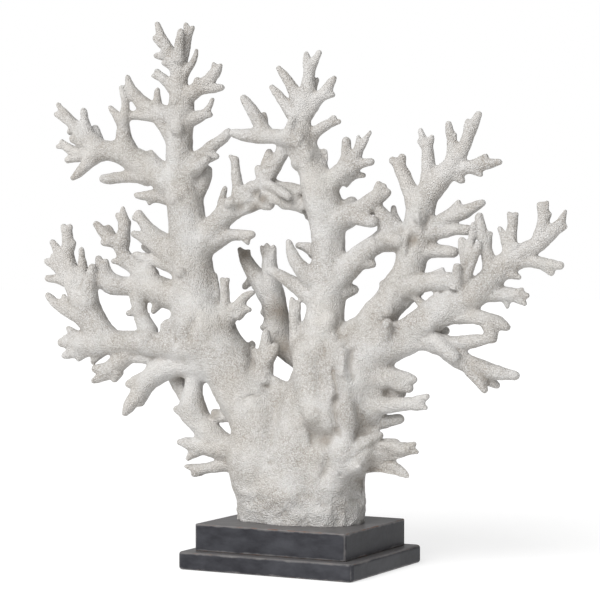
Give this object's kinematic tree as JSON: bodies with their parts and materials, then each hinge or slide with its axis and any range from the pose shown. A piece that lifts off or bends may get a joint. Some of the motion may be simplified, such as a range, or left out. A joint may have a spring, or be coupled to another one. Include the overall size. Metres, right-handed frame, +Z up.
{
  "type": "branching coral",
  "caption": "White branching coral, grown as a fan of tapering antler-like limbs from one thick trunk, on a dark rectangular stand of two steps.",
  "frame": {"origin": "centre of the stand's underside, on the floor", "axes": "+Z up through the trunk, +X along the stand's long side towards the right end, -Y out of the stand's front"},
  "size_m": [0.5724, 0.16, 0.5496],
  "materials": {
    "coral": "matt, fine polyp grain all over, greyer and browner in the recesses",
    "stand_paint": "satin charcoal paint, lightly mottled, rubbed paler along the edges"
  },
  "bodies": {
    "root": {"stand_slab": "stand_paint", "stand_block": "stand_paint", "trunk": "coral", "left_loop": "coral", "left_tower": "coral", "left_crown": "coral", "upper_left_arm": "coral", "left_arm": "coral", "crossing_arm": "coral", "left_mid_limb": "coral", "left_mid_finger": "coral", "far_left_limb": "coral", "far_left_hand": "coral", "far_left_low_hand": "coral", "lower_left_limb": "coral", "centre_tower": "coral", "centre_crown": "coral", "centre_right_fork": "coral", "centre_right_arm": "coral", "back_limb": "coral", "right_tower": "coral", "right_crown": "coral", "right_limb": "coral", "right_limb_end": "coral", "lower_right_limb": "coral"}
  },
  "joints": []
}
